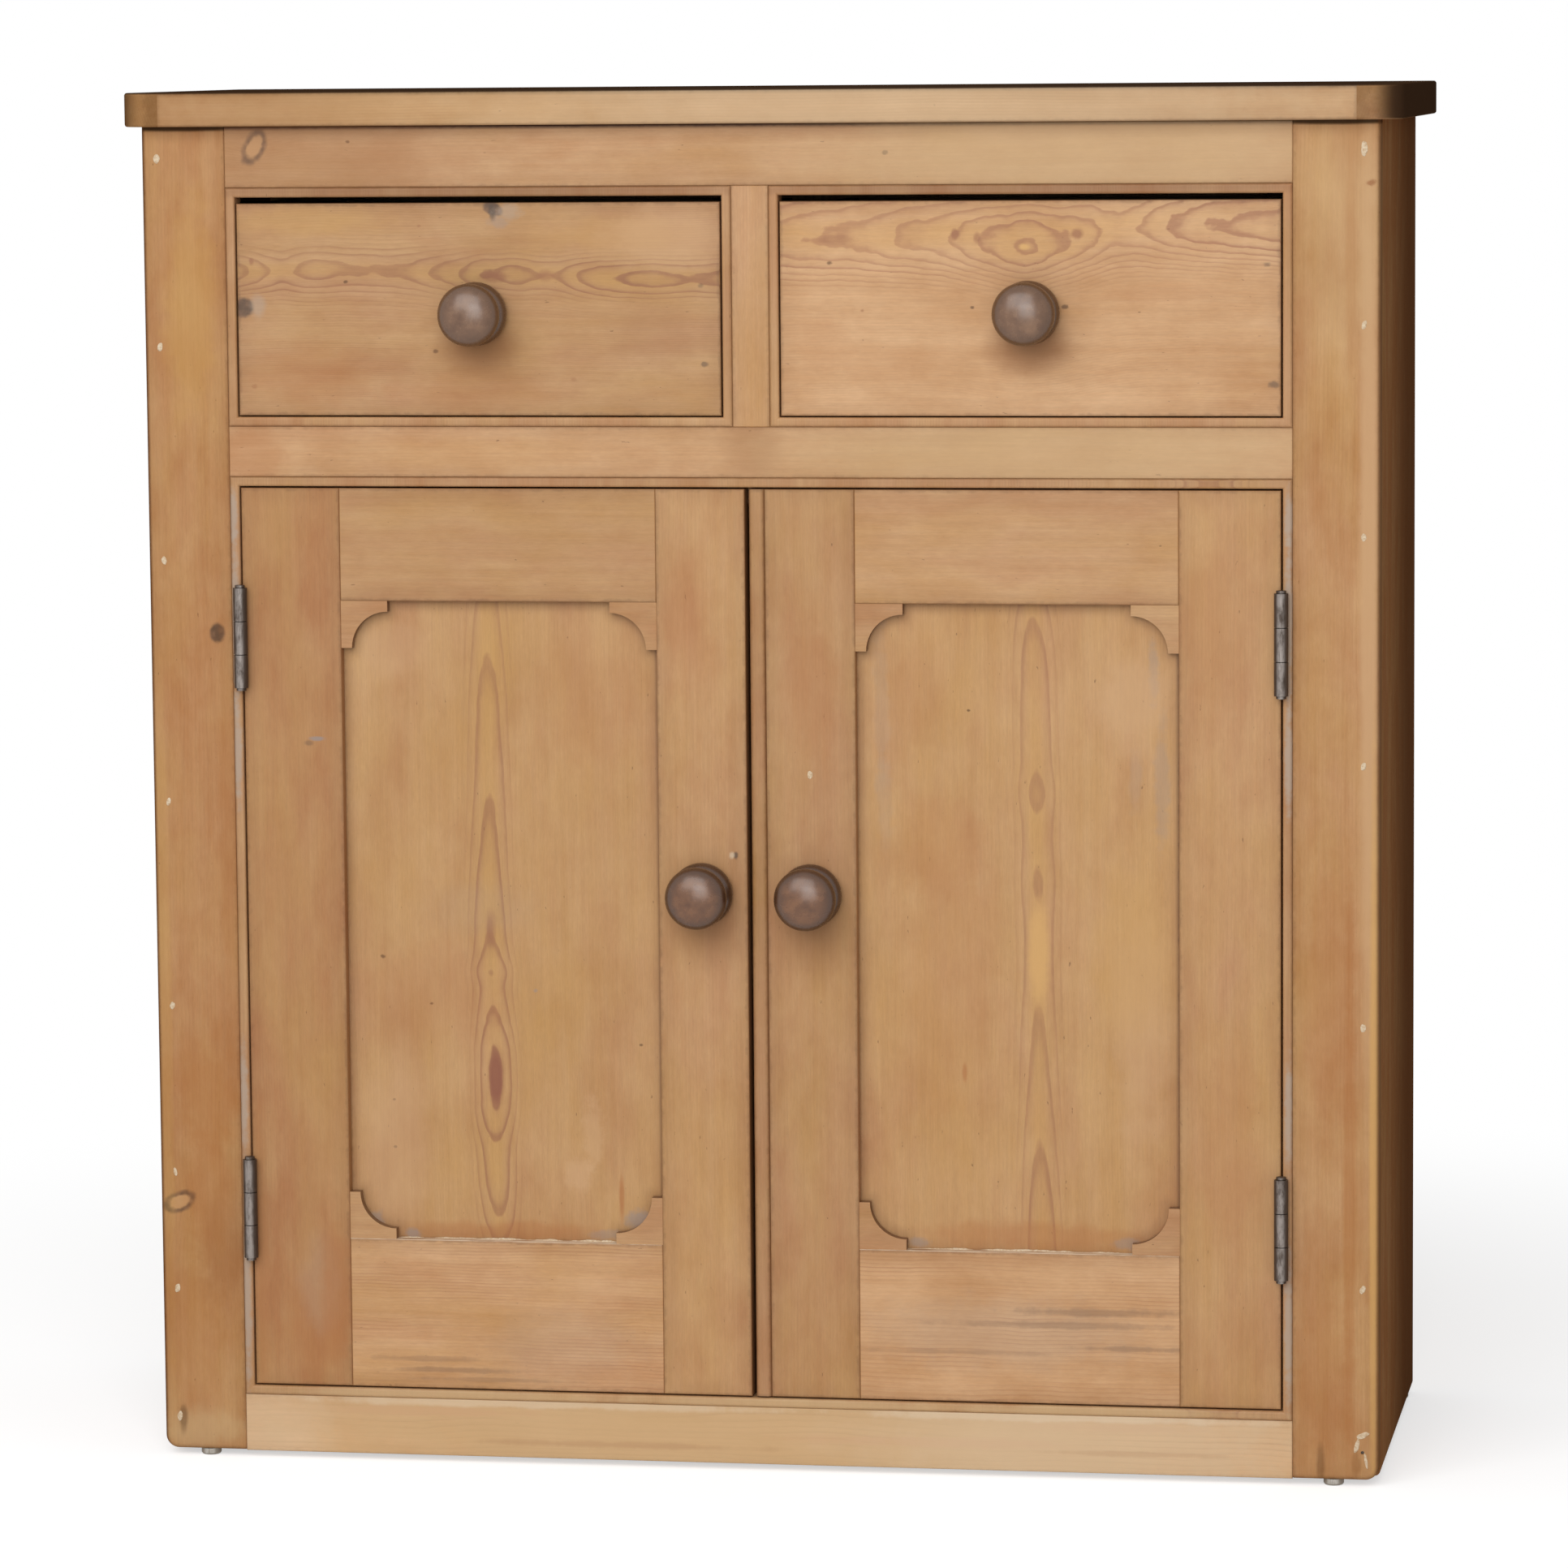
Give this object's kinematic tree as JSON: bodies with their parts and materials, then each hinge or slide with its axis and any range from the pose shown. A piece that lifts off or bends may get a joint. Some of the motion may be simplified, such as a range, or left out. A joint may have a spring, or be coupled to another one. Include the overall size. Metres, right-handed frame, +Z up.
{
  "type": "cupboard",
  "caption": "Free-standing pine cupboard with drawers over panelled doors in a beaded face frame, turned wooden knobs and butt hinges.",
  "frame": {"origin": "on the floor under the centre of the whole cupboard's bounding box, knobs included", "axes": "+Z up, +X towards the right door, the front faces -Y"},
  "size_m": [1.133, 0.474, 1.224],
  "materials": {
    "pine_frame": "satin",
    "pine_door": "satin",
    "pine_panel": "satin",
    "pine_drawer_front": "satin",
    "pine_top": "satin",
    "pine_side": "satin",
    "pine_inside": "matt, unfinished",
    "knob_wood": "satin, dark stained",
    "hinge_steel": "worn",
    "nail_steel": "dull",
    "glide_steel": "dull"
  },
  "bodies": {
    "carcass": {"top_board_front": "pine_top", "top_board_rear": "pine_top", "top_end_left": "pine_top", "top_end_right": "pine_top", "side_left": "pine_side", "side_right": "pine_side", "stile_left": "pine_frame", "stile_right": "pine_frame", "top_rail": "pine_frame", "mid_rail": "pine_frame", "bottom_rail": "pine_frame", "drawer_muntin": "pine_frame", "drawer_bead_left": "pine_frame", "drawer_bead_right": "pine_frame", "door_bead": "pine_frame", "back_boards": "pine_inside", "runner_left": "pine_inside", "runner_centre": "pine_inside", "runner_right": "pine_inside", "runner_back_rail": "pine_inside", "drawer_kickers": "pine_inside", "cupboard_floor": "pine_inside", "cupboard_shelf": "pine_inside", "glides": "glide_steel", "frame_hinge_leaves": "hinge_steel", "hinge_pins": "hinge_steel", "frame_hinge_screws": "hinge_steel", "stile_nails": "nail_steel", "door_stop": "pine_inside"},
    "left_door": {"door_left_hanging_stile": "pine_door", "door_left_meeting_stile": "pine_door", "door_left_top_rail": "pine_door", "door_left_bottom_rail": "pine_door", "door_left_panel": "pine_panel", "door_left_brackets": "pine_door", "door_left_knob": "knob_wood", "door_left_hinge_leaves": "hinge_steel", "door_left_hinge_screws": "hinge_steel"},
    "right_door": {"door_right_hanging_stile": "pine_door", "door_right_meeting_stile": "pine_door", "door_right_top_rail": "pine_door", "door_right_bottom_rail": "pine_door", "door_right_panel": "pine_panel", "door_right_brackets": "pine_door", "door_right_knob": "knob_wood", "door_right_hinge_leaves": "hinge_steel", "door_right_hinge_screws": "hinge_steel", "door_right_meeting_bead": "pine_door"},
    "left_drawer": {"drawer_left_front": "pine_drawer_front", "drawer_left_side_left": "pine_inside", "drawer_left_side_right": "pine_inside", "drawer_left_back": "pine_inside", "drawer_left_bottom": "pine_inside", "drawer_left_knob": "knob_wood"},
    "right_drawer": {"drawer_right_front": "pine_drawer_front", "drawer_right_side_left": "pine_inside", "drawer_right_side_right": "pine_inside", "drawer_right_back": "pine_inside", "drawer_right_bottom": "pine_inside", "drawer_right_knob": "knob_wood"}
  },
  "joints": [
    {"name": "left_drawer_slide", "type": "slide", "parent": "carcass", "child": "left_drawer", "axis": [0, -1, 0], "range_m": [0, 0.3]},
    {"name": "right_drawer_slide", "type": "slide", "parent": "carcass", "child": "right_drawer", "axis": [0, -1, 0], "range_m": [0, 0.3]},
    {"name": "left_door_hinge", "type": "hinge", "parent": "carcass", "child": "left_door", "pos_m": [-0.46275, -0.19, 0.47125], "axis": [0, 0, -1], "range_deg": [0, 170]},
    {"name": "right_door_hinge", "type": "hinge", "parent": "carcass", "child": "right_door", "pos_m": [0.46275, -0.19, 0.47125], "axis": [0, 0, 1], "range_deg": [0, 170]}
  ]
}
